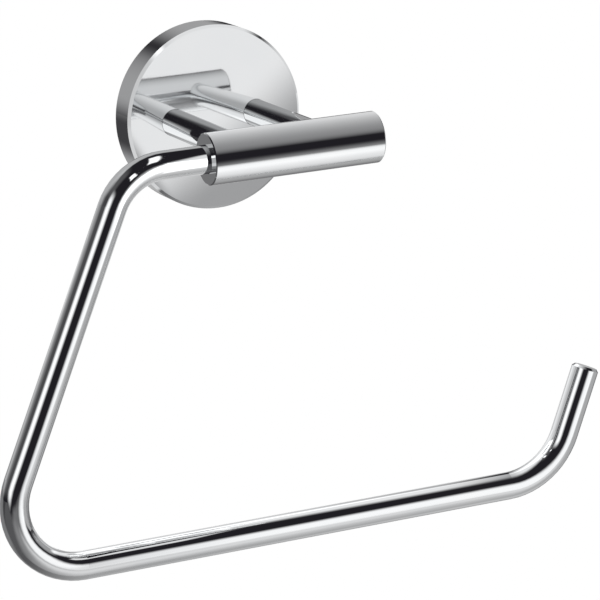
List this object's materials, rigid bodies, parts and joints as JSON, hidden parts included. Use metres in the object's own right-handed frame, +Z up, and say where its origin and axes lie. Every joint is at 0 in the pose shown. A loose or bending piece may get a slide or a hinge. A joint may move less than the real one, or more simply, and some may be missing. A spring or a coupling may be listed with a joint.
{
  "type": "double arm towel holder with an open ring",
  "caption": "Chrome wall-mounted towel holder: a round rosette carries a horizontal barrel on straight posts, and a bent rod out of the barrel makes an open ring for a towel.",
  "frame": {"origin": "middle of the wall bracket's back, on the wall plane, which is also the middle of the rosette's back", "axes": "+Z up, +Y into the wall, +X along the barrel towards the open side of the ring"},
  "size_m": [0.1851, 0.0707, 0.1395],
  "materials": {
    "polished_chrome": "mirror polished chrome plating on brass",
    "zinc_plated_steel": "dull zinc plating",
    "stainless_steel": "plain stainless steel"
  },
  "bodies": {
    "root": {"rosette": "polished_chrome", "post_left": "polished_chrome", "post_right": "polished_chrome", "barrel": "polished_chrome", "rod": "polished_chrome", "wall_bracket": "zinc_plated_steel", "rosette_set_screw": "stainless_steel", "rod_set_screw": "stainless_steel", "post_screw_left": "stainless_steel", "post_screw_right": "stainless_steel", "post_washer_left": "stainless_steel", "post_washer_right": "stainless_steel"}
  },
  "joints": []
}
